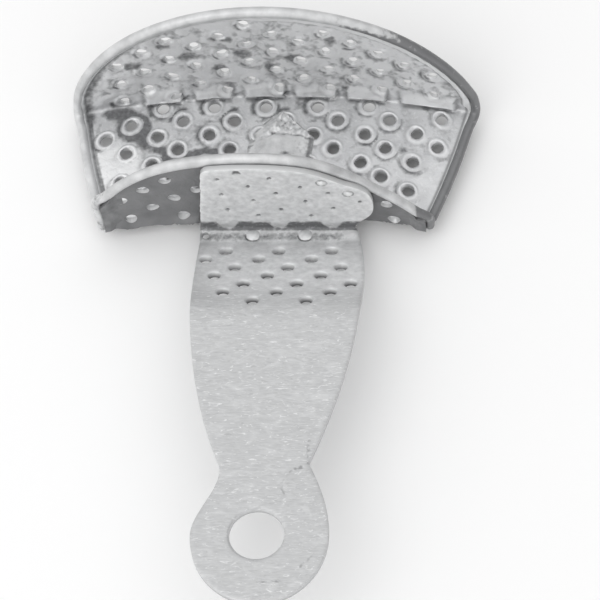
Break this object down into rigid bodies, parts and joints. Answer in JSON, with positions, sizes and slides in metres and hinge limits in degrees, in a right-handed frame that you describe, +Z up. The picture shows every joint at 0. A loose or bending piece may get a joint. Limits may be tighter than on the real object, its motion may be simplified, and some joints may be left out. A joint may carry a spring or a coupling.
{
  "type": "impression tray",
  "caption": "Sectional dental impression tray: a perforated steel trough with a soldered wire rim and a flat ring handle.",
  "frame": {"origin": "underside of the trough's floor, midway between its low wall and its tall wall", "axes": "+Z up out of the trough, -Y along the handle, +X to the right with the handle towards the user"},
  "size_m": [0.0552, 0.0808, 0.0217],
  "materials": {
    "polished_sheet": "polished",
    "rim_wire": "satin",
    "handle_sheet": "satin",
    "solder": "matte"
  },
  "bodies": {
    "root": {"tray_shell": "polished_sheet", "outer_rim_wire": "rim_wire", "near_rim_wire": "rim_wire", "handle_plate": "handle_sheet", "handle_braze": "solder", "corner_braze_left": "solder", "corner_braze_right": "solder", "floor_braze": "solder"}
  },
  "joints": []
}
